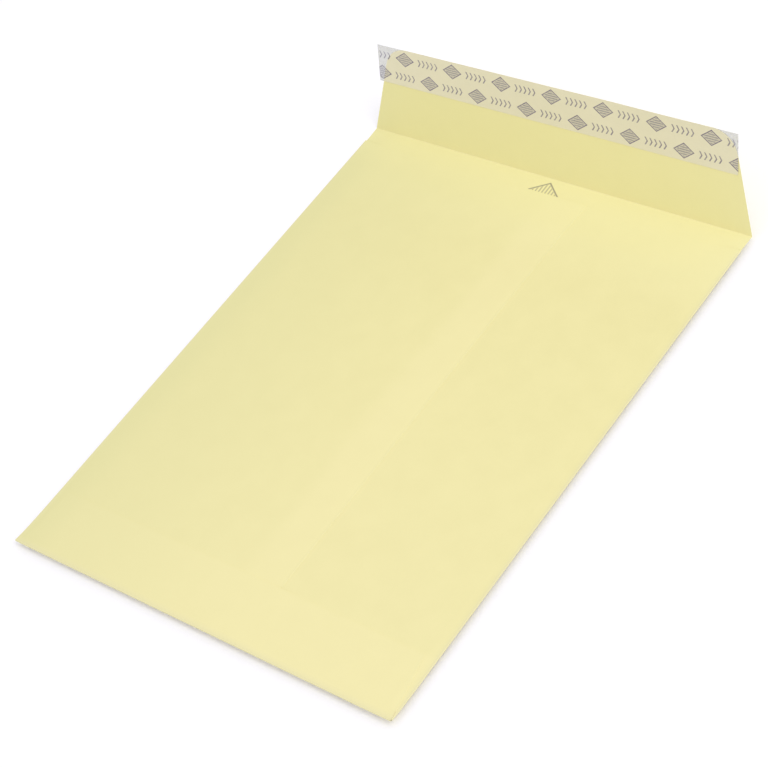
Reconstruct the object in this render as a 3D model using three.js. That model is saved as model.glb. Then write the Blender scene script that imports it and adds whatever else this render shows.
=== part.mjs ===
// A peel-and-seal pocket envelope, empty, lying on its front with its sealing flap standing up.
// Millimetres, +Z up, +Y towards the mouth. The origin is on the table, under the middle of the whole.
// While it is built, y = 0 is the crease of the sealing flap and x = 0 is the middle of the front panel.
import * as THREE from 'three';

// The paper and the closed pocket
const envelopeWidth = 254;
const envelopeHeight = 330;
const paperThickness = 0.16;
const pocketGap = 0.3;
const backRise = 2;
const mouthRise = 1.1;
const risePeakFromBottom = 170;

// The mouth: a bare strip of the front panel, a little narrower than the folded sides
const throatDepth = 11;
const mouthInset = 0.9;

// The centre seam, where the left side panel lies on the right one
const seamEdgeFromCentre = 29;
const seamOverlap = 24;
const seamGlueWidth = 15;

// The bottom flap, folded up over both side panels
const bottomFlapHeight = 38;
const bottomFlapInset = 2.5;
const bottomFlapTaper = 7;
const bottomGlueWidth = 12;
const bottomGlueEndInset = 16;

// Glue between the layers, and the room that each layer keeps from the next
const glueThickness = 0.04;
const glueMargin = 4;
const layerClearance = 0.03;
const edgeClearance = 0.4;
const climbWidth = 3;

// The sealing flap: its angle is measured from the plane of the front panel
const flapHeight = 55;
const flapAngle = THREE.MathUtils.degToRad(70.5);
const flapSideSlope = 0.257;
const flapCornerRadius = 15;
const creaseRadius = 0.4;

// The adhesive band and the release liner, a straight strip that was laid a little to the left
const linerLength = 239.3;
const linerWidth = 23.1;
const linerThickness = 0.07;
const linerShift = -1.5;
const adhesiveThickness = 0.06;
const adhesiveMargin = 3;

// How finely the sheet is divided
const foldSteps = 6;
const cornerSteps = 5;
const columnWidth = 24;
const rowHeight = 32;

// Where the folds are
const foldInside = pocketGap / 2;
const foldOutside = foldInside + paperThickness;
const sideFoldLine = envelopeWidth / 2 - foldOutside;
const layerLift = paperThickness + glueThickness + 2 * layerClearance;
const bottomFoldReach = foldOutside + layerLift / 2;
const bottomFoldLine = -envelopeHeight + bottomFoldReach;
const bottomFlapTop = -envelopeHeight + bottomFlapHeight;
const panelBottom = bottomFoldLine + edgeClearance;
const throatLine = -throatDepth;

// Half widths at the bottom flap, its glue and the mouth
const bottomHalfWidth = envelopeWidth / 2 - bottomFlapInset;
const bottomGlueEnd = envelopeWidth / 2 - bottomGlueEndInset;
const mouthHalfWidth = envelopeWidth / 2 - mouthInset;

// The seam, from its hidden edge to the edge that shows. The left panel climbs onto the right one before the
// hidden edge, and the bottom flap, which lies on both, comes down again past the edge that shows.
const hiddenSeamEdge = seamEdgeFromCentre - seamOverlap;
const seamGlueStart = hiddenSeamEdge + (seamOverlap - seamGlueWidth) / 2;
const seamGlueEnd = seamGlueStart + seamGlueWidth;
const climbEnd = hiddenSeamEdge - edgeClearance;
const climbStart = climbEnd - climbWidth;
const descentStart = seamEdgeFromCentre + edgeClearance;
const descentEnd = descentStart + climbWidth;

// The glue lines along the envelope
const seamGlueFoot = bottomFlapTop + glueMargin;
const seamGlueTop = throatLine - glueMargin;
const bottomGlueTop = bottomFlapTop - glueMargin;
const bottomGlueFoot = bottomGlueTop - bottomGlueWidth;

// Places from start to end, with the named places among them and no gap wider than the step
function spread(start, end, step, named) {
  const between = named.filter((place) => place > start && place < end).sort((a, b) => a - b);
  const places = [start];
  for (const stop of [...between, end]) {
    const from = places.at(-1);
    const count = Math.ceil((stop - from) / step);
    for (let i = 1; i <= count; i++) places.push(from + ((stop - from) * i) / count);
  }
  return places;
}

// Even parts of a turn, from 0 to 1
const turns = Array.from({ length: foldSteps + 1 }, (_, i) => i / foldSteps);
const turnsBack = turns.toReversed();

// The lines across and along the envelope that all its layers share, so that their facets lie on each other
const columns = spread(-sideFoldLine, sideFoldLine, columnWidth, [
  -bottomHalfWidth, bottomHalfWidth, -bottomGlueEnd, bottomGlueEnd,
  climbStart, climbEnd, hiddenSeamEdge, seamGlueStart, seamGlueEnd,
  seamEdgeFromCentre, descentStart, descentEnd,
]);
const rows = spread(bottomFoldLine, throatLine, rowHeight, [
  panelBottom, bottomGlueFoot, bottomGlueTop, bottomFlapTop, seamGlueFoot, seamGlueTop,
]);
const within = (places, low, high) => places.filter((place) => place >= low && place <= high);

// How far the inner faces of the front and the back are apart. The empty pocket stands open by a hair at its
// folds and bows up in the middle, most of all part way up, and less at the mouth.
function pocketHeight(x, y) {
  const across = 1 - (x / sideFoldLine) ** 2;
  const peak = bottomFoldLine + risePeakFromBottom;
  if (y < peak) return pocketGap + across * backRise * (1 - ((peak - y) / risePeakFromBottom) ** 2);
  const fall = (backRise - mouthRise) * ((y - peak) / (throatLine - peak)) ** 2;
  return pocketGap + across * (backRise - fall);
}

// 0 up to the start, 1 from the end on, and a straight ramp between
function ramp(place, start, end) {
  return THREE.MathUtils.clamp((place - start) / (end - start), 0, 1);
}

// The heights of the lower faces of the right side panel, the left side panel and the bottom flap
const rightPanelLevel = (x, y) => paperThickness + pocketHeight(x, y);
const leftPanelLevel = (x, y) => rightPanelLevel(x, y) + layerLift * ramp(x, climbStart, climbEnd);
const bottomFlapLevel = (x, y) => leftPanelLevel(x, y) + layerLift * (1 - ramp(x, descentStart, descentEnd));

// A sheet of an even stuff such as paper, built from patches. A patch is a grid of places on the sheet, and a
// place is a pair of points, one on each face. Patches grow together where their places are the same, and the
// edges that stay free are closed by the thickness. Seen from the inner face, a grid runs across to the right
// and along away from the viewer.
class Sheet {
  constructor() {
    this.indexOf = new Map();
    this.inner = [];
    this.outer = [];
    this.faces = [];
  }

  place([inner, outer]) {
    const key = [...inner, ...outer].map((value) => Math.round(value * 1000)).join();
    if (!this.indexOf.has(key)) {
      this.indexOf.set(key, this.inner.length);
      this.inner.push(inner);
      this.outer.push(outer);
    }
    return this.indexOf.get(key);
  }

  patch(across, along, pair) {
    const grid = along.map((v) => across.map((u) => this.place(pair(u, v))));
    for (let j = 1; j < along.length; j++) {
      for (let i = 1; i < across.length; i++) {
        const corner = grid[j - 1][i - 1];
        const opposite = grid[j][i];
        this.faces.push([corner, grid[j - 1][i], opposite], [corner, opposite, grid[j][i - 1]]);
      }
    }
    return this;
  }

  geometry() {
    const count = this.inner.length;
    const index = [];
    const edges = new Map();
    for (const [a, b, c] of this.faces) {
      index.push(a, b, c, c + count, b + count, a + count);
      for (const edge of [[a, b], [b, c], [c, a]]) edges.set(edge.join(), edge);
    }
    for (const [from, to] of edges.values()) {
      if (edges.has([to, from].join())) continue;
      index.push(to, from, from + count, to, from + count, to + count);
    }
    const geometry = new THREE.BufferGeometry();
    const points = [...this.inner, ...this.outer].flat();
    geometry.setAttribute('position', new THREE.Float32BufferAttribute(points, 3));
    geometry.setIndex(index);
    geometry.computeVertexNormals();
    return geometry;
  }
}

// A layer of a given thickness that lies with its inner face down at a level
function layer(level, thickness) {
  return (x, y) => [[x, y, level(x, y)], [x, y, level(x, y) + thickness]];
}

// A point on a round bend, turned by an angle from straight down about an axis at a height
function bend(radius, angle, axisHeight) {
  return [radius * Math.sin(angle), axisHeight - radius * Math.cos(angle)];
}

// The front panel lies flat on the table. Past the throat it is drawn in to the width of the mouth.
function frontPanel(x, y) {
  const across = x * THREE.MathUtils.lerp(1, mouthHalfWidth / sideFoldLine, ramp(y, throatLine, 0));
  return [[across, y, paperThickness], [across, y, 0]];
}

// A side fold, half a turn from the front panel up to the back. The side is 1 on the right and -1 on the left.
function sideFold(side) {
  return (turn, y) => [foldInside, foldOutside].map((radius) => {
    const [out, up] = bend(radius, Math.PI * turn, paperThickness + foldInside);
    return [side * (sideFoldLine + out), y, up];
  });
}

// The bottom fold wraps the ends of the side panels, and is taller where it wraps the seam
function bottomFold(x, turn) {
  const top = bottomFlapLevel(x, bottomFoldLine);
  const halfHeight = (top - paperThickness) / 2;
  return [0, paperThickness].map((depth) => [
    x,
    bottomFoldLine - (bottomFoldReach - paperThickness + depth) * Math.sin(Math.PI * turn),
    paperThickness + halfHeight - (halfHeight + depth) * Math.cos(Math.PI * turn),
  ]);
}

// The bottom flap has slanting sides. Its middle, which follows the seam under it, is straight.
function bottomFlap(x, y) {
  const drawnIn = bottomFlapTaper * ramp(y, bottomFoldLine, bottomFlapTop);
  const place = x - Math.sign(x) * drawnIn * ramp(Math.abs(x), bottomGlueEnd, bottomHalfWidth);
  return layer(bottomFlapLevel, paperThickness)(place, y);
}

// The crease of the sealing flap turns up from the front panel
function crease(x, turn) {
  return [creaseRadius, creaseRadius + paperThickness].map((radius) => {
    const [along, up] = bend(radius, flapAngle * turn, paperThickness + creaseRadius);
    return [(x * mouthHalfWidth) / sideFoldLine, along, up];
  });
}

// The slant of the sealing flap's sides, and where its round corners start and have their centres
const slant = Math.atan(flapSideSlope);
const cornerCentreUp = flapHeight - flapCornerRadius;
const cornerCentreOut = mouthHalfWidth - flapSideSlope * cornerCentreUp - flapCornerRadius / Math.cos(slant);
const cornerStart = cornerCentreUp + flapCornerRadius * Math.sin(slant);

// Half of the sealing flap's width at a distance up from its crease
function flapHalfWidth(up) {
  if (up < cornerStart) return mouthHalfWidth - flapSideSlope * up;
  return cornerCentreOut + Math.sqrt(Math.max(flapCornerRadius ** 2 - (up - cornerCentreUp) ** 2, 0));
}

// The sealing flap stands up flat from its crease
function sealingFlap(x, up) {
  const across = (x * flapHalfWidth(up)) / sideFoldLine;
  return crease(0, 1).map(([, y, z]) => [
    across, y + up * Math.cos(flapAngle), z + up * Math.sin(flapAngle),
  ]);
}

// The one sheet of paper, folded
function envelopeSheet() {
  const pocketRows = within(rows, panelBottom, throatLine);
  const bottomRows = within(rows, bottomFoldLine, bottomFlapTop).toReversed();
  const bottomColumns = within(columns, -bottomHalfWidth, bottomHalfWidth);
  const rightColumns = within(columns, hiddenSeamEdge, sideFoldLine).toReversed();
  const leftColumns = within(columns, -sideFoldLine, seamEdgeFromCentre).toReversed();
  const cornerRows = turns.slice(1).map((turn) => {
    return cornerCentreUp + flapCornerRadius * Math.sin(THREE.MathUtils.lerp(slant, Math.PI / 2, turn));
  });
  return new Sheet()
    .patch(columns, [...rows, 0], frontPanel)
    .patch(turns, pocketRows, sideFold(1))
    .patch(turnsBack, pocketRows, sideFold(-1))
    .patch(rightColumns, pocketRows, layer(rightPanelLevel, paperThickness))
    .patch(leftColumns, pocketRows, layer(leftPanelLevel, paperThickness))
    .patch(bottomColumns, turnsBack, bottomFold)
    .patch(bottomColumns, bottomRows, bottomFlap)
    .patch(columns, turns, crease)
    .patch(columns, [...spread(0, cornerStart, rowHeight, []), ...cornerRows], sealingFlap)
    .geometry();
}

// A dried glue line lies in the gap under a layer of paper
function glueLine(paperLevel, low, high, foot, top) {
  const level = (x, y) => paperLevel(x, y) - layerClearance - glueThickness;
  const across = within(columns, low, high).toReversed();
  return new Sheet().patch(across, within(rows, foot, top), layer(level, glueThickness)).geometry();
}

// A straight band on the inner face of the sealing flap, at a distance up from the crease and off the face
function flapBand(length, width, thickness, foot, off) {
  return new THREE.BoxGeometry(length, width, thickness).translate(0, foot + width / 2, off + thickness / 2);
}

function part(name, geometry, color, roughness, finish = {}) {
  const material = new THREE.MeshStandardMaterial({ color, roughness, metalness: 0, ...finish });
  const mesh = new THREE.Mesh(geometry, material);
  mesh.name = name;
  return mesh;
}

const seamGlue = glueLine(leftPanelLevel, seamGlueStart, seamGlueEnd, seamGlueFoot, seamGlueTop);
const bottomGlue = glueLine(bottomFlapLevel, -bottomGlueEnd, bottomGlueEnd, bottomGlueFoot, bottomGlueTop);

const linerFoot = flapHeight - linerWidth;
const linerOff = adhesiveThickness + 2 * layerClearance;
const adhesiveWidth = linerWidth - 2 * adhesiveMargin;
const adhesiveLength = 2 * (flapHalfWidth(flapHeight - adhesiveMargin) - adhesiveMargin);
const adhesive = flapBand(
  adhesiveLength, adhesiveWidth, adhesiveThickness, linerFoot + adhesiveMargin, layerClearance,
);
const liner = flapBand(linerLength, linerWidth, linerThickness, linerFoot, linerOff);
liner.translate(linerShift, 0, 0);

// What lies on the sealing flap turns with it
const onFlap = new THREE.Group();
onFlap.position.set(...crease(0, 1)[0]);
onFlap.rotation.x = flapAngle;
onFlap.add(
  part('adhesive_strip', adhesive, 0xe4dfc6, 0.5),
  part('release_liner', liner, 0xdad9d4, 0.35, { transparent: true, opacity: 0.6 }),
);

const envelope = new THREE.Group();
envelope.add(
  part('envelope_sheet', envelopeSheet(), 0xf0e5ab, 0.85),
  part('seam_glue', seamGlue, 0xe9dfb4, 0.6),
  part('bottom_flap_glue', bottomGlue, 0xe9dfb4, 0.6),
  onFlap,
);

// The origin goes under the middle of the whole
const bounds = new THREE.Box3().setFromObject(envelope);
envelope.position.y = -(bounds.min.y + bounds.max.y) / 2;
envelope.updateMatrixWorld(true);

export default envelope;
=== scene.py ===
"""A peel-and-seal pocket envelope of pale yellow paper, lying on its front with its flap standing up.

Metres, +Z up, +Y towards the mouth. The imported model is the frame, and every piece lies in it.
"""
import functools
import math

import bmesh
import bpy
import numpy as np
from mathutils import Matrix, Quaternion, Vector, noise


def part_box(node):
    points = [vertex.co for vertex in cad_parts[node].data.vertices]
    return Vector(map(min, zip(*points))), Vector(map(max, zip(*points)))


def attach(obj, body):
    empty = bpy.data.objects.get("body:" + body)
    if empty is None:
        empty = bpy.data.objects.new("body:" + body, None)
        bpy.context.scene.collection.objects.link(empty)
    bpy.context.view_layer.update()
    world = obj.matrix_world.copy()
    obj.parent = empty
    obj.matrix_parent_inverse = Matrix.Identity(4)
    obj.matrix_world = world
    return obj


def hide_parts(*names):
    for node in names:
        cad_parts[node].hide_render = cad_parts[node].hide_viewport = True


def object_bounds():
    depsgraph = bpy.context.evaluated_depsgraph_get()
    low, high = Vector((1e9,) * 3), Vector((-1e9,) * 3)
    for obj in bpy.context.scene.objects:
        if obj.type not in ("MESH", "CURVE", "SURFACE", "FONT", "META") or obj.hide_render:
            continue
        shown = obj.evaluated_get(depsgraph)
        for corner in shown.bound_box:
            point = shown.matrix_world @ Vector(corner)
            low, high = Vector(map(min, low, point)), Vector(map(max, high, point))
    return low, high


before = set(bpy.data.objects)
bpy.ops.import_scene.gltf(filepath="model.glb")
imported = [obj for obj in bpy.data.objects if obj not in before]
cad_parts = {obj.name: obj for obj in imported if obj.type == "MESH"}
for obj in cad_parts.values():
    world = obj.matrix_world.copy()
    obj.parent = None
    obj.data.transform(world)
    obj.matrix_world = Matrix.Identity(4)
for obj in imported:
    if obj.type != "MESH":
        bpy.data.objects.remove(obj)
cad_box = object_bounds()


# Camera
# It looks down on the glued back from beyond the right-hand bottom corner, and it is rolled, so that the
# envelope lies across the picture from corner to corner.
MM = 0.001
CAMERA_PLACE = Vector((677.1, -510.3, 865.0)) * MM
CAMERA_AIM = Vector((-3.8, -4.9, 0.0)) * MM
CAMERA_ROLL = math.radians(-23.18)
CAMERA_LENS = 108.3
SENSOR = 36.0

camera = bpy.data.objects.new("camera", bpy.data.cameras.new("camera"))
camera.data.lens = CAMERA_LENS
camera.data.sensor_width = SENSOR
camera.location = CAMERA_PLACE
camera.rotation_mode = "QUATERNION"
level_view = (CAMERA_AIM - CAMERA_PLACE).to_track_quat("-Z", "Y")
camera.rotation_quaternion = level_view @ Quaternion((0.0, 0.0, 1.0), CAMERA_ROLL)
bpy.context.scene.collection.objects.link(camera)
bpy.context.scene.camera = camera
bpy.context.scene.view_settings.view_transform = "Standard"


# Table and light
# A plain white table under a soft white room, and one large soft lamp at the right. The picture's white is
# the table's own colour and a faint glow that is seen but lights nothing. The room is seen a little paler
# than it shines, as pale as the table's far end, so that no horizon shows.
TABLE_REACH = 6.0
TABLE_DROP = 0.1 * MM
TABLE_COLOUR = (0.98, 0.98, 0.98, 1.0)
TABLE_GLOW = 0.1
GLOW_COLOUR = (0.6, 0.5, 1.0, 1.0)
ROOM_STRENGTH = 0.88
ROOM_SEEN = 0.93
LAMP_PLACE = Vector((2.0, 0.2, 2.95))
LAMP_SIZE = 1.6
LAMP_POWER = 20.0


class Wire:
    """A shader socket that takes part in plain arithmetic, where each step adds a Math node."""

    def __init__(self, graph, socket):
        self.graph = graph
        self.socket = socket

    def maths(self, operation, *values):
        return self.graph.node("ShaderNodeMath", dict(enumerate(values)), operation=operation)

    def __add__(self, other):
        return self.maths("ADD", self, other)

    def __radd__(self, other):
        return self.maths("ADD", other, self)

    def __sub__(self, other):
        return self.maths("SUBTRACT", self, other)

    def __rsub__(self, other):
        return self.maths("SUBTRACT", other, self)

    def __mul__(self, other):
        return self.maths("MULTIPLY", self, other)

    def __rmul__(self, other):
        return self.maths("MULTIPLY", other, self)

    def __truediv__(self, other):
        return self.maths("DIVIDE", self, other)

    def __rtruediv__(self, other):
        return self.maths("DIVIDE", other, self)

    def __mod__(self, other):
        return self.maths("FLOORED_MODULO", self, other)

    def __rmod__(self, other):
        return self.maths("FLOORED_MODULO", other, self)

    def __abs__(self):
        return self.maths("ABSOLUTE", self)

    def most(self, other):
        return self.maths("MAXIMUM", self, other)

    def rise(self, low, high):
        """0 below low, 1 above high, and a smooth step between; low may be the larger one."""
        if low > high:
            return 1 - self.rise(high, low)
        sockets = {"Value": self, "From Min": low, "From Max": high}
        return self.graph.node("ShaderNodeMapRange", sockets, interpolation_type="SMOOTHSTEP")


class Graph:
    """A node tree, and one method that adds any node to it."""

    def __init__(self, tree):
        self.tree = tree
        self.nodes = tree.nodes

    def node(self, kind, sockets=None, output=0, **settings):
        """Add a node, its settings first and then its sockets' values or links, and give one output."""
        node = self.nodes.new(kind)
        for name, value in settings.items():
            setattr(node, name, value)
        for key, value in (sockets or {}).items():
            self.feed(node.inputs[key], value)
        return Wire(self, node.outputs[output])

    def feed(self, socket, value):
        if isinstance(value, Wire):
            self.tree.links.new(value.socket, socket)
        else:
            socket.default_value = value

    def mix(self, share, low, high):
        """A colour between two others. The Mix node's sockets share names, so their places are given."""
        return self.node("ShaderNodeMix", {0: share, 6: low, 7: high}, output=2, data_type="RGBA")

    def parts(self, vector):
        """The three numbers of a vector."""
        split = self.node("ShaderNodeSeparateXYZ", {"Vector": vector}).socket.node
        return [Wire(self, socket) for socket in split.outputs]

    def noise(self, place, scale, detail=2.0, roughness=0.5):
        sockets = {"Vector": place, "Scale": scale, "Detail": detail, "Roughness": roughness}
        return self.node("ShaderNodeTexNoise", sockets)

    def seen(self):
        """1 for the rays that show a thing itself: straight, mirrored or through glass."""
        kinds = ("Is Camera Ray", "Is Glossy Ray", "Is Transmission Ray")
        rays = [self.node("ShaderNodeLightPath", output=kind) for kind in kinds]
        return functools.reduce(Wire.most, rays)


class Finish(Graph):
    """One material's node tree."""

    def __init__(self, name):
        self.material = bpy.data.materials.new(name)
        self.material.use_nodes = True
        super().__init__(self.material.node_tree)
        self.shader = self.nodes["Principled BSDF"]

    def surface(self, **values):
        """Set or link the shader's own sockets, whose names are written with _ for each space."""
        for name, value in values.items():
            self.feed(self.shader.inputs[name.replace("_", " ")], value)


def table_finish():
    finish = Finish("white_table")
    finish.surface(Base_Color=TABLE_COLOUR, Roughness=0.9, Specular_IOR_Level=0.1)
    strength = finish.seen() * TABLE_GLOW
    glow = finish.node("ShaderNodeEmission", {"Color": GLOW_COLOUR, "Strength": strength})
    both = finish.node("ShaderNodeAddShader", {0: Wire(finish, finish.shader.outputs[0]), 1: glow})
    finish.feed(finish.nodes["Material Output"].inputs["Surface"], both)
    return finish.material


table_mesh = bpy.data.meshes.new("table")
shape = bmesh.new()
bmesh.ops.create_grid(shape, x_segments=2, y_segments=2, size=TABLE_REACH)
shape.to_mesh(table_mesh)
shape.free()
table_mesh.materials.append(table_finish())
table = bpy.data.objects.new("table", table_mesh)
table.location.z = cad_box[0].z - TABLE_DROP
bpy.context.scene.collection.objects.link(table)

room = bpy.data.worlds.new("room")
room.use_nodes = True
air = Graph(room.node_tree)
air_sockets = air.nodes["Background"].inputs
air.feed(air_sockets["Color"], (1, 1, 1, 1))
air.feed(air_sockets["Strength"], air.seen() * (ROOM_SEEN - ROOM_STRENGTH) + ROOM_STRENGTH)
bpy.context.scene.world = room

lamp_data = bpy.data.lights.new("soft_lamp", "AREA")
lamp_data.shape = "DISK"
lamp_data.size = LAMP_SIZE
lamp_data.energy = LAMP_POWER
lamp = bpy.data.objects.new("soft_lamp", lamp_data)
lamp.location = LAMP_PLACE
lamp.rotation_mode = "QUATERNION"
lamp.rotation_quaternion = (-LAMP_PLACE).to_track_quat("-Z", "Y")
bpy.context.scene.collection.objects.link(lamp)


# Folded paper sheet
# One blank of smooth pale yellow paper of about 120 g/m2, cut and folded by machine: the front panel, two
# side panels that lap at the back, a bottom flap and the sealing flap. Only its folds and its glue hold it.
PAPER = 0.16 * MM
POCKET_GAP = 0.6 * MM
MOUTH_GAP = 0.06 * MM
CLOSED_HEIGHT = 329 * MM
THROAT_DEPTH = 11 * MM
EDGE_ROOM = 0.25 * MM
LAYER_LIFT = 0.26 * MM
SEAM_OVERLAP = 24 * MM
CLIMB = 13 * MM
BOTTOM_TAPER = 7 * MM
GLUE_MARGIN = 4 * MM
FREE_REACH = 5 * MM

FLAP_HEIGHT = 55.9 * MM
FLAP_LEAN = math.radians(70.9)
FLAP_TWIST = math.radians(0.3)
FLAP_SKEW = 0.0284
FLAP_SLOPES = (0.257, 0.2)
FLAP_CORNER = 15 * MM
CREASE_RADIUS = 0.4 * MM
FLAP_BOW = -0.2 * MM
RIPPLE_HEIGHT = 0.25 * MM
RIPPLE_LENGTH = 60 * MM
RIPPLE_SEED = 8.1

BACK_RISE = 2.6 * MM
MOUTH_RISE = 0.6 * MM
RISE_PEAK = 170 * MM
RISE_FULLNESS = 2.2
FOLD_HOLD = 6 * MM
SHUT_DEPTH = 25 * MM
SHUT_SIDE = 15 * MM
WAVE_HEIGHT = 0.22 * MM
WAVE_LENGTH = 90 * MM
WAVE_START = 40 * MM
WAVE_SEED = 3.7
BOTTOM_LIFT = 3.0 * MM
BOTTOM_LEFT_SHARE = 0.85
RIGHT_LIFT = 2.7 * MM
LEFT_LIFT = 1.8 * MM
EDGE_CURL = 18 * MM
BACK_CURL = 70 * MM
CREASE_HOLD = 60 * MM
PRESSED_ROOM = 0.005 * MM

CELL = 3.2 * MM
FOLD_STEPS = 8
CORNER_STEPS = 12
RIM_INSETS = (0.6, 1.5, 2.5, 3.5, 4.5, 5.5, 7, 8.5)
ROUNDING = 1e-9

sheet_low, sheet_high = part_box("envelope_sheet")
seam_low, seam_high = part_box("seam_glue")
bottom_glue_low, bottom_glue_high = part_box("bottom_flap_glue")

HALF_WIDTH = sheet_high.x
FOLD_INSIDE = POCKET_GAP / 2
FOLD_OUTSIDE = FOLD_INSIDE + PAPER
SIDE_FOLD = HALF_WIDTH - FOLD_OUTSIDE
BOTTOM_REACH = FOLD_OUTSIDE + LAYER_LIFT / 2
BOTTOM_FOLD = sheet_low.y + BOTTOM_REACH
CREASE = sheet_low.y + CLOSED_HEIGHT
THROAT = CREASE - THROAT_DEPTH
PANEL_BOTTOM = BOTTOM_FOLD + EDGE_ROOM
GLUE_HALF = bottom_glue_high.x
BOTTOM_FLAP_TOP = bottom_glue_high.y + GLUE_MARGIN
SEAM_MIDDLE = (seam_low.x + seam_high.x) / 2
SEAM_EDGE = SEAM_MIDDLE + SEAM_OVERLAP / 2
HIDDEN_EDGE = SEAM_MIDDLE - SEAM_OVERLAP / 2


def step(place, start, end):
    """0 up to the start, 1 from the end on, and a smooth step between."""
    share = np.clip((place - start) / (end - start), 0, 1)
    return share * share * (3 - 2 * share)


def waves(x, y, length, seed):
    """Slow, irregular waves between about -1 and 1."""
    x, y = np.broadcast_arrays(x, y)
    flat = zip((x.ravel() / length).tolist(), (y.ravel() / length).tolist())
    return np.reshape([noise.noise(Vector((u, v, seed))) for u, v in flat], x.shape) * 2


def table_lift(x, y, curl=EDGE_CURL):
    """How far the front panel stands off the table: dry paper curls up a little along its edges.

    The left fold climbs evenly from the crease to the curled bottom edge. The standing flap keeps the
    crease straight as well, so it climbs evenly from the left to the curled right edge.
    """
    across = np.clip((x + SIDE_FOLD) / (2 * SIDE_FOLD), 0, None)
    down = np.clip((CREASE - y) / (CREASE - BOTTOM_FOLD), 0, None)
    bottom_share = BOTTOM_LEFT_SHARE + (1 - BOTTOM_LEFT_SHARE) * across
    bottom = BOTTOM_LIFT * bottom_share * np.exp(-(y - BOTTOM_FOLD) / curl)
    left = LEFT_LIFT * down * np.exp(-(x + SIDE_FOLD) / curl)
    curled = np.exp(-(SIDE_FOLD - x) / curl)
    right = RIGHT_LIFT * (curled + (across - curled) * step(y, CREASE - CREASE_HOLD, CREASE))
    return np.cbrt(bottom**3 + left**3 + right**3)


def pocket_height(x, y):
    """The clear height between front and back: least at the folds and the mouth, most in the middle."""
    across = 1 - np.clip(np.abs(x) / SIDE_FOLD, 0, 1) ** RISE_FULLNESS
    peak = BOTTOM_FOLD + RISE_PEAK
    below = BACK_RISE * (1 - np.clip((peak - y) / RISE_PEAK, 0, 1) ** 2)
    above = BACK_RISE - (BACK_RISE - MOUTH_RISE) * np.clip((y - peak) / (THROAT - peak), 0, 1) ** 2
    along = np.where(y < peak, below, above)
    from_side = SIDE_FOLD - np.abs(x)
    free = step(from_side, 0, FOLD_HOLD) * step(y, BOTTOM_FOLD, BOTTOM_FOLD + FOLD_HOLD)
    swell = free * (table_lift(x, y, BACK_CURL) - table_lift(x, y))
    held = across * np.clip((y - BOTTOM_FOLD) / WAVE_START, 0, 1)
    wave = WAVE_HEIGHT * held * waves(x, y, WAVE_LENGTH, WAVE_SEED)
    height = POCKET_GAP + across * along + swell + wave
    shut = step(y, THROAT - SHUT_DEPTH, THROAT) * step(from_side, 0, SHUT_SIDE)
    return height + (MOUTH_GAP - height) * shut


def right_level(x, y):
    return table_lift(x, y) + PAPER + pocket_height(x, y)


def pressed(share):
    """How far a free edge beyond its glue is pressed down onto the layer below."""
    return (LAYER_LIFT - PAPER - PRESSED_ROOM) * share


def over_hidden_edge(x):
    return LAYER_LIFT * step(x, HIDDEN_EDGE - EDGE_ROOM - CLIMB, HIDDEN_EDGE - EDGE_ROOM)


def left_level(x, y):
    return right_level(x, y) + over_hidden_edge(x) - pressed(step(x, seam_high.x, SEAM_EDGE))


def bottom_flap_level(x, y):
    descent = step(x, SEAM_EDGE + EDGE_ROOM, SEAM_EDGE + EDGE_ROOM + CLIMB)
    over_seam = over_hidden_edge(x) * (1 - descent)
    past_side = step(np.abs(x), GLUE_HALF, GLUE_HALF + FREE_REACH)
    free = np.maximum(past_side, step(y, BOTTOM_FLAP_TOP - GLUE_MARGIN, BOTTOM_FLAP_TOP))
    return right_level(x, y) + LAYER_LIFT + over_seam - pressed(free * (y > BOTTOM_FOLD + GLUE_MARGIN))


def point(x, y, z):
    return np.stack(np.broadcast_arrays(x, y, z), axis=-1)


def layer(level, thickness):
    """Two faces, the inner one first, of a layer that lies with its inner face down at a level."""
    return lambda x, y: (point(x, y, level(x, y)), point(x, y, level(x, y) + thickness))


def front_panel(x, y):
    widened = np.clip((y - THROAT) / (CREASE - THROAT), 0, 1)
    across = x * (1 + (HALF_WIDTH / SIDE_FOLD - 1) * widened)
    lift = table_lift(x, y)
    return point(across, y, lift + PAPER), point(across, y, lift)


def side_fold(side):
    def faces(turn, y):
        lift = table_lift(side * SIDE_FOLD, y)
        out, up = np.sin(np.pi * turn), np.cos(np.pi * turn)
        middle = lift + PAPER + FOLD_INSIDE
        return tuple(
            point(side * (SIDE_FOLD + radius * out), y, middle - radius * up)
            for radius in (FOLD_INSIDE, FOLD_OUTSIDE)
        )
    return faces


def bottom_fold(x, turn):
    lift = table_lift(x, BOTTOM_FOLD)
    half_height = (bottom_flap_level(x, BOTTOM_FOLD) - lift - PAPER) / 2
    out, up = np.sin(np.pi * turn), np.cos(np.pi * turn)
    return tuple(
        point(
            x,
            BOTTOM_FOLD - (BOTTOM_REACH - PAPER + depth) * out,
            lift + PAPER + half_height - (half_height + depth) * up,
        )
        for depth in (0, PAPER)
    )


def bottom_flap(x, y):
    drawn_in = BOTTOM_TAPER * np.clip((y - BOTTOM_FOLD) / (BOTTOM_FLAP_TOP - BOTTOM_FOLD), 0, 1)
    share = np.clip((np.abs(x) - GLUE_HALF) / (SIDE_FOLD - GLUE_HALF), 0, 1)
    place = x - np.sign(x) * drawn_in * share
    return layer(bottom_flap_level, PAPER)(place, y)


CORNER_UP = FLAP_HEIGHT - FLAP_CORNER


def flap_side(right):
    """The slope of a side of the flap, its angle, and how far out the middle of its round corner lies.

    The corner is a little fuller at the right.
    """
    slope = np.where(right, FLAP_SLOPES[1], FLAP_SLOPES[0])
    slant = np.arctan(slope)
    return slope, slant, HALF_WIDTH - slope * CORNER_UP - FLAP_CORNER / np.cos(slant)


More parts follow.
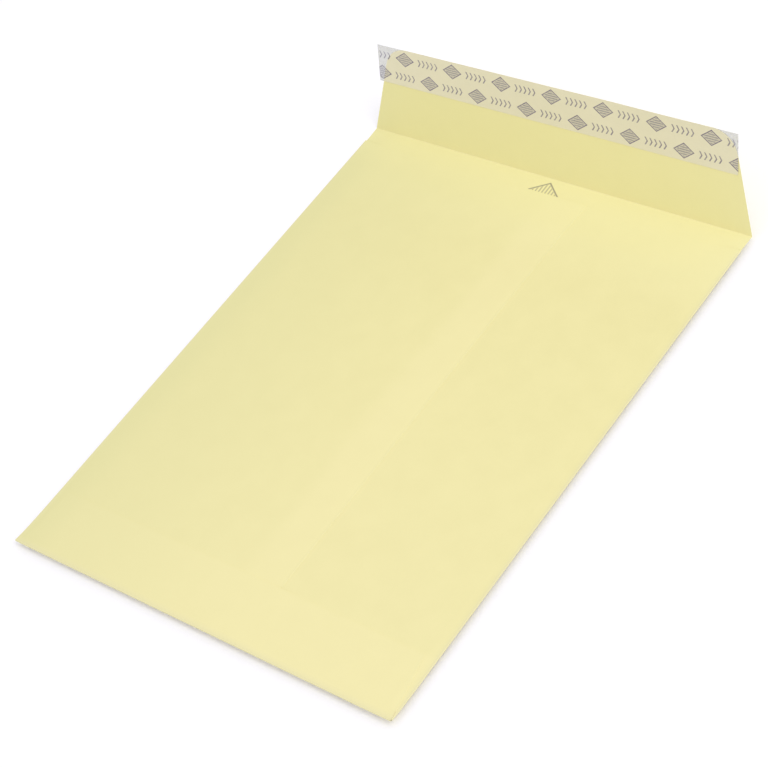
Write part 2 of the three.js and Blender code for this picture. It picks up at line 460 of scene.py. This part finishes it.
def flap_half_width(up, right):
    """From the flap's middle to its slanted side or to its round corner."""
    slope, slant, corner_out = flap_side(right)
    straight_part = HALF_WIDTH - slope * up
    round_part = corner_out + np.sqrt(np.clip(FLAP_CORNER**2 - (up - CORNER_UP) ** 2, 0, None))
    return np.where(up < CORNER_UP + FLAP_CORNER * np.sin(slant), straight_part, round_part)


def on_flap(x, up, off):
    """A point on the standing flap: x across it, up from its crease, and off its inner face.

    The flap was folded by hand, so it is a little taller and leans a little less at the right, and it bows.
    """
    lean = FLAP_LEAN + FLAP_TWIST * x / HALF_WIDTH
    up_skewed = up * (1 + FLAP_SKEW * x / HALF_WIDTH)
    bow = FLAP_BOW * (up / FLAP_HEIGHT) ** 2 * np.cos(np.pi * x / HALF_WIDTH)
    ripple = RIPPLE_HEIGHT * (up / FLAP_HEIGHT) * waves(x, up, RIPPLE_LENGTH, RIPPLE_SEED)
    out = off + bow + ripple
    base_along = CREASE + CREASE_RADIUS * np.sin(lean)
    base_up = table_lift(x, CREASE) + PAPER + CREASE_RADIUS * (1 - np.cos(lean))
    along = base_along + up_skewed * np.cos(lean) - out * np.sin(lean)
    return point(x, along, base_up + up_skewed * np.sin(lean) + out * np.cos(lean))


def crease(x, turn):
    across = x * HALF_WIDTH / SIDE_FOLD
    angle = (FLAP_LEAN + FLAP_TWIST * across / HALF_WIDTH) * turn
    lift = table_lift(x, CREASE) * (1 - turn) + table_lift(across, CREASE) * turn
    axis = lift + PAPER + CREASE_RADIUS
    return tuple(
        point(across, CREASE + radius * np.sin(angle), axis - radius * np.cos(angle))
        for radius in (CREASE_RADIUS, CREASE_RADIUS + PAPER)
    )


def sealing_flap(x, up):
    across = x * flap_half_width(up, x > 0) / SIDE_FOLD
    return on_flap(across, up, 0), on_flap(across, up, -PAPER)


class SheetMesh:
    """A sheet of an even stuff, built from patches that grow together where their places are the same.

    A patch is a grid of places, and a place is a pair of points, one on each face. Seen from the inner
    face, a grid runs across to the right and along away from the viewer. Free edges are closed by the
    thickness, and the face attribute cut_edge marks them.
    """

    MERGE = 0.0002 * MM
    SHARP = math.radians(40)

    def __init__(self):
        self.places = []
        self.marks = []
        self.quads = []
        self.count = 0

    def patch(self, across, along, faces, marks=None):
        """Add a grid. Its marks are three numbers for each place, which the finish can read."""
        u, v = np.meshgrid(across, along)
        inner, outer = faces(u, v)
        self.places.append(np.concatenate([inner, outer], axis=-1).reshape(-1, 6))
        self.marks.append(marks(u, v).reshape(-1, 3) if marks else np.zeros((u.size, 3)))
        index = np.arange(u.size).reshape(u.shape) + self.count
        corners = [index[:-1, :-1], index[:-1, 1:], index[1:, 1:], index[1:, :-1]]
        self.quads.append(np.stack(corners, axis=-1).reshape(-1, 4))
        self.count += u.size
        return self

    def object(self, name, material):
        """Merge places that are the same, wall the edges that only one quad has, and make the object."""
        places = np.concatenate(self.places)
        keys, first, same = np.unique(
            np.round(places / self.MERGE).astype(np.int64), axis=0, return_index=True, return_inverse=True
        )
        places, same, count = places[first], same.ravel(), len(keys)
        quads = same[np.concatenate(self.quads)]
        starts, ends = quads.ravel(), np.roll(quads, -1, axis=1).ravel()
        free = ~np.isin(starts * count + ends, ends * count + starts)
        starts, ends = starts[free], ends[free]
        walls = np.stack([ends, starts, starts + count, ends + count], axis=-1)
        faces = np.concatenate([quads, quads[:, ::-1] + count, walls])
        mesh = bpy.data.meshes.new(name)
        mesh.from_pydata(np.concatenate([places[:, :3], places[:, 3:]]).tolist(), [], faces.tolist())
        mesh.polygons.foreach_set("use_smooth", [True] * len(mesh.polygons))
        mesh.set_sharp_from_angle(angle=self.SHARP)
        marks = np.tile(np.concatenate(self.marks)[first], (2, 1))
        mesh.attributes.new("marks", "FLOAT_VECTOR", "POINT").data.foreach_set("vector", marks.ravel())
        cut = np.arange(len(faces)) >= len(faces) - len(walls)
        mesh.attributes.new("cut_edge", "FLOAT", "FACE").data.foreach_set("value", cut.astype(float))
        mesh.materials.append(material)
        piece = bpy.data.objects.new(name, mesh)
        bpy.context.scene.collection.objects.link(piece)
        return piece


def spread(start, end, cell, named=()):
    """Places from start to end, with the named ones among them and no gap wider than the cell."""
    places = [start]
    for stop in [*sorted(n for n in named if start < n < end), end]:
        count = math.ceil((stop - places[-1]) / cell)
        places += list(np.linspace(places[-1], stop, count + 1)[1:])
    return np.array(places)


def within(places, low, high):
    return places[(places >= low - ROUNDING) & (places <= high + ROUNDING)]


climb_lines = [HIDDEN_EDGE - EDGE_ROOM - CLIMB, HIDDEN_EDGE - EDGE_ROOM]
descent_lines = [SEAM_EDGE + EDGE_ROOM, SEAM_EDGE + EDGE_ROOM + CLIMB]
rim_lines = [side * (SIDE_FOLD - inset * MM) for side in (-1, 1) for inset in RIM_INSETS]
columns = spread(-SIDE_FOLD, SIDE_FOLD, CELL, [
    *climb_lines, *descent_lines, *rim_lines, HIDDEN_EDGE, SEAM_EDGE, seam_low.x, seam_high.x,
    -GLUE_HALF, GLUE_HALF,
])
rows = spread(BOTTOM_FOLD, THROAT, CELL, [
    PANEL_BOTTOM, bottom_glue_low.y, bottom_glue_high.y, BOTTOM_FLAP_TOP, seam_low.y, seam_high.y,
])
throat_rows = spread(THROAT, CREASE, CELL)[1:]
pocket_rows = within(rows, PANEL_BOTTOM, THROAT)
bottom_rows = within(rows, BOTTOM_FOLD, BOTTOM_FLAP_TOP)[::-1]
turns = np.linspace(0, 1, FOLD_STEPS + 1)
corner_turns = np.linspace(0, math.pi / 2, CORNER_STEPS + 1)[1:]
corner_rows = CORNER_UP + FLAP_CORNER * np.sin(corner_turns)
flap_rows = np.concatenate([spread(0, CORNER_UP, CELL), corner_rows])

# How far the painted shade reaches in from the folds and the crease, and how strong it is at the crease.
FOLD_SHADE_REACH = 0.8 * MM
CREASE_SHADE_REACH = 0.7 * MM
CREASE_SHADE = 0.2


def fold_shade(piece):
    """A point attribute that says how near a fold or the crease each point lies, where the finish paints
    shade.
    """
    mesh = piece.data
    place = np.empty(len(mesh.vertices) * 3)
    mesh.vertices.foreach_get("co", place)
    x, y, z = place.reshape(-1, 3).T
    side = np.exp(-np.clip(SIDE_FOLD - np.abs(x), 0, None) / FOLD_SHADE_REACH) * (y < THROAT)
    bottom = np.exp(-np.clip(y - BOTTOM_FOLD, 0, None) / FOLD_SHADE_REACH)
    creased = CREASE_SHADE * np.exp(-np.hypot(y - CREASE, z - PAPER) / CREASE_SHADE_REACH)
    fold_shade_mask = mesh.attributes.new("fold_shade", "FLOAT", "POINT")
    fold_shade_mask.data.foreach_set("value", np.maximum(np.maximum(side, bottom), creased))


# Where the painted shade on the left side starts and how far its rim reaches.
SOFT_EDGE = 2 * MM
LAP_FADE = 6 * MM
LEFT_SHADE_START = 30 * MM
LEFT_SHADE_RIM = 26 * MM
LEFT_SHADE_BELOW_THROAT = 20 * MM
PALE_START = 60 * MM
# The band below the crease where the flap's thrown-back light is painted, and its fade at the crease.
CREASE_BOUNCE_BAND = (70 * MM, 3 * MM)
CREASE_BOUNCE_FADE = 0.6 * MM
STAMP_HALF_SIZES = (10.5 * MM, 8.5 * MM)
STAMP_HATCH = 2.1 * MM


def srgb(red, green, blue):
    """A colour written as it looks, 0 to 255, in the linear numbers that a shader takes."""
    shown = (red / 255, green / 255, blue / 255)
    linear = [c / 12.92 if c <= 0.04045 else ((c + 0.055) / 1.055) ** 2.4 for c in shown]
    return (*linear, 1.0)


def throat_stamp(x, y):
    """The upper half of a hatched diamond, which counts from 0 in its middle to 1 on its outline."""
    diamond = abs(x) / STAMP_HALF_SIZES[0] + (y - THROAT) / STAMP_HALF_SIZES[1]
    rim = diamond.rise(1.05, 0.97) * diamond.rise(0.84, 0.92)
    lines = abs(x % STAMP_HATCH - STAMP_HATCH / 2).rise(0.6 * MM, 0.35 * MM)
    hatch = lines * diamond.rise(0.9, 0.82)
    return rim.most(hatch * 0.6) * y.rise(THROAT, THROAT + 0.2 * MM)


def paper_finish():
    """Smooth uncoated paper: a faint cloudy formation, short fibres, and painted shade along its folds.

    It lets a little light through, and that light is painted in: it is lighter along its cut edges, and
    where more layers lie under it, at the seam and at the bottom flap. Its left side is painted in shade,
    its flap's face is a touch greener for the light on it, it is palest at the bottom, and below the crease
    lies a painted pool of the light that the standing flap throws back. A small mark is printed on the
    front panel in the throat. Only the half that the back panel leaves bare is there, on both faces.
    """
    finish = Finish("pale_yellow_paper")
    place = finish.node("ShaderNodeTexCoord", output="Object")
    x, y = finish.parts(place)[:2]
    cloud = finish.noise(place, 75.0, 3.0)
    fibre = finish.noise(place, 1600.0, 4.0, 0.65)
    fleck = finish.noise(place, 2600.0, 1.0).rise(0.68, 0.78)
    # Painted shade on the rounded folds and along the crease, duller and greyer than the paper.
    fold_shade_mask = finish.node("ShaderNodeAttribute", output="Fac", attribute_name="fold_shade")
    # Painted highlight: the cut edges are painted nearly white, for the light that comes through the
    # paper's edge, and this lightens the shade at its steps.
    cut = finish.node("ShaderNodeAttribute", output="Fac", attribute_name="cut_edge")

    # Painted light: the paper is lighter where more layers lie under it, at the seam and at the bottom
    # flap, for the light they throw back through it.
    lapped = x.rise(HIDDEN_EDGE - LAP_FADE, HIDDEN_EDGE + LAP_FADE)
    lapped *= x.rise(SEAM_EDGE + SOFT_EDGE, SEAM_EDGE - SOFT_EDGE)
    lapped *= y.rise(THROAT + SOFT_EDGE, THROAT - SOFT_EDGE)
    layered = lapped.most(y.rise(BOTTOM_FLAP_TOP + SOFT_EDGE, BOTTOM_FLAP_TOP - SOFT_EDGE))
    # Painted shade: the left side is painted darker and duller, most near the left fold and less on the
    # flap, for the light that falls away from it.
    left_shade = x.rise(LEFT_SHADE_START, -SIDE_FOLD) * 0.5
    left_shade += x.rise(LEFT_SHADE_RIM - SIDE_FOLD, SOFT_EDGE - SIDE_FOLD) * 0.28
    left_shade *= 0.45 + y.rise(CREASE + SOFT_EDGE, THROAT - LEFT_SHADE_BELOW_THROAT) * 0.55
    palest = y.rise(CREASE - PALE_START, BOTTOM_FOLD)
    # Painted light: a lighter, fresher yellow in a band below the crease, for the light that the standing
    # flap throws back onto the panel.
    crease_bounce = y.rise(CREASE - CREASE_BOUNCE_BAND[0], CREASE - CREASE_BOUNCE_BAND[1]) * y.rise(CREASE + CREASE_BOUNCE_FADE, CREASE)
    # Painted light: the flap's inner face is painted a touch greener and lighter, for the light that falls
    # on it.
    flap = y.rise(CREASE, CREASE + SOFT_EDGE)

    tone = cloud * 0.5 + fibre * 0.5
    colour = finish.mix(tone.rise(0.2, 0.8), srgb(238, 229, 168), srgb(243, 234, 174))
    # Tints over the paper's tone: the left shade, the flap's tint, the light below the crease, the light of
    # the layers and cut edges and the fold shade are painted light or shade; the flecks and the print are
    # the paper's own.
    tints = (
        (palest, 0.3, srgb(245, 236, 184)),
        (layered, 0.35, srgb(247, 237, 181)),
        (crease_bounce, 0.6, srgb(252, 246, 188)),
        (flap, 0.5, srgb(240, 235, 175)),
        (left_shade, 1, srgb(228, 223, 166)),
        (fleck, 0.15, srgb(222, 207, 146)),
        (fold_shade_mask, 0.6, srgb(233, 226, 182)),
        (throat_stamp(x, y), 0.7, srgb(118, 112, 112)),
        (cut, 0.8, srgb(254, 251, 228)),
    )
    for mask, strength, tint in tints:
        colour = finish.mix(mask * strength, colour, tint)
    relief = fibre * 0.7 + cloud * 0.3
    bump = finish.node("ShaderNodeBump", {"Strength": 0.3, "Distance": 0.06 * MM, "Height": relief})
    finish.surface(Base_Color=colour, Roughness=0.78 + fibre * 0.12, Specular_IOR_Level=0.25, Normal=bump)
    return finish.material


paper_sheet = (
    SheetMesh()
    .patch(columns, np.concatenate([rows, throat_rows]), front_panel)
    .patch(turns, pocket_rows, side_fold(1))
    .patch(turns[::-1], pocket_rows, side_fold(-1))
    .patch(within(columns, HIDDEN_EDGE, SIDE_FOLD)[::-1], pocket_rows, layer(right_level, PAPER))
    .patch(within(columns, -SIDE_FOLD, SEAM_EDGE)[::-1], pocket_rows, layer(left_level, PAPER))
    .patch(columns, turns[::-1], bottom_fold)
    .patch(columns, bottom_rows, bottom_flap)
    .patch(columns, turns, crease)
    .patch(columns, flap_rows, sealing_flap)
    .object("paper_sheet", paper_finish())
)
fold_shade(paper_sheet)
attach(paper_sheet, "root")
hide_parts("envelope_sheet")


# Seam glue line
# A thin line of starch glue, laid by a wheel along the right side panel and pressed flat under the left
# one. It dried to a pale, brittle film that holds the back together.
GLUE = 0.04 * MM
LAYER_ROOM = 0.03 * MM
GLUE_RAGGED = 0.5 * MM
RAGS_PER_METRE = 300
RIM_NEAR = 0.001 * MM


def glue_finish():
    finish = Finish("dried_starch_glue")
    place = finish.node("ShaderNodeTexCoord", output="Object")
    streak = finish.noise(place, 420.0, 3.0)
    colour = finish.mix(streak.rise(0.3, 0.7), srgb(226, 216, 172), srgb(240, 231, 192))
    bump = finish.node("ShaderNodeBump", {"Strength": 0.3, "Distance": 0.03 * MM, "Height": streak})
    finish.surface(Base_Color=colour, Roughness=0.45 + streak * 0.2, Normal=bump)
    return finish.material


def glue_line(name, paper_level, across, along, axis, material):
    """A film in the gap under a layer of paper, with ragged rims at both ends of one axis."""
    def level(x, y):
        return paper_level(x, y) - LAYER_ROOM - GLUE

    piece = SheetMesh().patch(across[::-1], along, layer(level, GLUE)).object(name, material)
    rims = (across, along)[axis][[0, -1]]
    for vertex in piece.data.vertices:
        place = vertex.co[axis]
        if min(abs(place - rims)) < RIM_NEAR:
            seed = Vector((vertex.co.x * RAGS_PER_METRE, vertex.co.y * RAGS_PER_METRE, 0.0))
            inward = GLUE_RAGGED * (noise.noise(seed) + 1)
            vertex.co[axis] -= math.copysign(inward, place - rims.mean())
    return piece


glue = glue_finish()
seam_glue_line = glue_line(
    "seam_glue_line", left_level, within(columns, seam_low.x, seam_high.x),
    within(rows, seam_low.y, seam_high.y), 0, glue,
)
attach(seam_glue_line, "root")
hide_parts("seam_glue")


# Bottom flap glue line
# The same glue, in one band across the bottom flap near its free edge. It holds the flap down on both side
# panels and steps down with the flap past the seam.
bottom_glue_line = glue_line(
    "bottom_flap_glue_line", bottom_flap_level, within(columns, -GLUE_HALF, GLUE_HALF),
    within(rows, bottom_glue_low.y, bottom_glue_high.y), 1, glue,
)
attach(bottom_glue_line, "root")
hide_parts("bottom_flap_glue")


# Adhesive band
# A band of clear pressure-sensitive adhesive, coated on the flap's inner face a little inside the liner's
# edges. It stays tacky under the liner, and shows through it as a faintly deeper, wetter yellow.
ADHESIVE = 0.06 * MM
ADHESIVE_MARGIN = 3 * MM

liner_low, liner_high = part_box("release_liner")
LINER_WIDTH = 23.1 * MM
LINER_FOOT = FLAP_HEIGHT - LINER_WIDTH
adhesive_low, adhesive_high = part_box("adhesive_strip")


def flap_film(off, thickness):
    """Two faces of a film on the flap's inner face: the one towards the flap is its outer face."""
    return lambda x, up: (on_flap(x, up, off + thickness), on_flap(x, up, off))


def adhesive_finish():
    finish = Finish("clear_adhesive")
    place = finish.node("ShaderNodeTexCoord", output="Object")
    coat = finish.noise(place, 260.0, 2.0)
    colour = finish.mix(coat, srgb(226, 214, 150), srgb(236, 226, 170))
    bump = finish.node("ShaderNodeBump", {"Strength": 0.4, "Distance": 0.08 * MM, "Height": coat})
    finish.surface(Base_Color=colour, Roughness=0.12 + coat * 0.1, Alpha=0.45, Normal=bump)
    return finish.material


adhesive_band = SheetMesh().patch(
    spread(adhesive_low.x, adhesive_high.x, CELL),
    spread(LINER_FOOT + ADHESIVE_MARGIN, FLAP_HEIGHT - ADHESIVE_MARGIN, CELL),
    flap_film(LAYER_ROOM, ADHESIVE),
).object("adhesive_band", adhesive_finish())
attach(adhesive_band, "root")
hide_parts("adhesive_strip")


# Release liner
# A straight strip of translucent siliconised film over the adhesive, cut square at both ends, so that it
# stands past the flap's round corners. It is printed in one violet-grey ink, with marks that point one way.
# The sizes of the print are millimetres along and up the strip.
LINER = 0.07 * MM
LINER_OFF = ADHESIVE + 2 * LAYER_ROOM
LINER_PAST = 0.3 * MM
LINER_CELL = 1.6 * MM
MARK_PITCH = 34.0
MARK_START = 5.0
MARK_ROWS = (5.9, 17.2)
DIAMOND_MIDDLE = 7.5
DIAMOND_HALF_SIZES = (6.6, 4.6)
DIAMOND_HATCH = 1.3
CHEVRONS = 5
CHEVRON_START = 18.6
CHEVRON_PITCH = 3.0
CHEVRON_SLANT = 0.6
CHEVRON_HALF_HEIGHTS = (2.3, 2.15)
CHEVRON_HALF_WIDTHS = (0.52, 0.34)


def liner_marks(x, up):
    """Millimetres along and up the strip, and inwards from the flap's slanted side or round corner."""
    slope, slant, corner_out = flap_side(x > 0)
    past = np.abs(x) - corner_out
    into_side = (HALF_WIDTH - slope * up - np.abs(x)) * np.cos(slant)
    into_corner = FLAP_CORNER - np.where(past > 0, np.hypot(past, up - CORNER_UP), 0)
    inside = np.where(up < CORNER_UP + FLAP_CORNER * np.sin(slant), into_side, into_corner)
    return point((x - liner_low.x) / MM, (up - LINER_FOOT) / MM, inside / MM)


def liner_print(u, v):
    """Two rows of hatched diamonds with a group of chevrons after each, the second row half a pitch on."""
    marks = []
    for row, middle in enumerate(MARK_ROWS):
        along = (u + MARK_START + MARK_PITCH * row / 2) % MARK_PITCH
        up = abs(v - middle)
        diamond = abs(along - DIAMOND_MIDDLE) / DIAMOND_HALF_SIZES[0] + up / DIAMOND_HALF_SIZES[1]
        lines = abs((v - middle) % DIAMOND_HATCH - DIAMOND_HATCH / 2).rise(0.42, 0.28)
        marks.append(diamond.rise(1.03, 0.97) * diamond.rise(0.82, 0.88))
        marks.append(lines * diamond.rise(0.8, 0.74) * 0.75)
        marks.append(diamond.rise(0.9, 0.86) * 0.3)
        for number in range(CHEVRONS):
            tip = CHEVRON_START + CHEVRON_PITCH * number
            stroke = abs(along - tip + up * CHEVRON_SLANT).rise(*CHEVRON_HALF_WIDTHS)
            marks.append(stroke * up.rise(*CHEVRON_HALF_HEIGHTS) * 0.85)
    return functools.reduce(Wire.most, marks)


def liner_finish():
    """Milky film with a soft gloss, and its print.

    Where the adhesive wets it to the flap, the paper's yellow comes through. Past the round corners it
    stays grey.
    """
    finish = Finish("printed_silicone_liner")
    place = finish.node("ShaderNodeTexCoord", output="Object")
    marks = finish.node("ShaderNodeAttribute", output="Vector", attribute_name="marks")
    u, v, inside = finish.parts(marks)
    behind = inside.rise(-0.15, 0.15)
    patchy = finish.noise(place, 900.0, 2.0).rise(0.2, 0.7)
    print_cover = liner_print(u, v) * (0.7 + patchy * 0.3)
    cloudy = finish.noise(place, 60.0, 2.0)
    wetted = finish.mix(cloudy, srgb(241, 235, 206), srgb(247, 240, 212))
    film = finish.mix(behind, srgb(211, 211, 209), wetted)
    colour = finish.mix(print_cover, film, srgb(100, 91, 122))
    cover = 0.45 + behind * 0.4 + print_cover * 0.14
    finish.surface(Base_Color=colour, Roughness=0.34 + patchy * 0.06, Specular_IOR_Level=0.4, Alpha=cover)
    return finish.material


liner_film = SheetMesh().patch(
    spread(liner_low.x, liner_high.x + LINER_PAST, LINER_CELL),
    spread(LINER_FOOT, FLAP_HEIGHT, LINER_CELL),
    flap_film(LINER_OFF, LINER), liner_marks,
).object("liner_film", liner_finish())
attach(liner_film, "root")
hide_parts("release_liner")
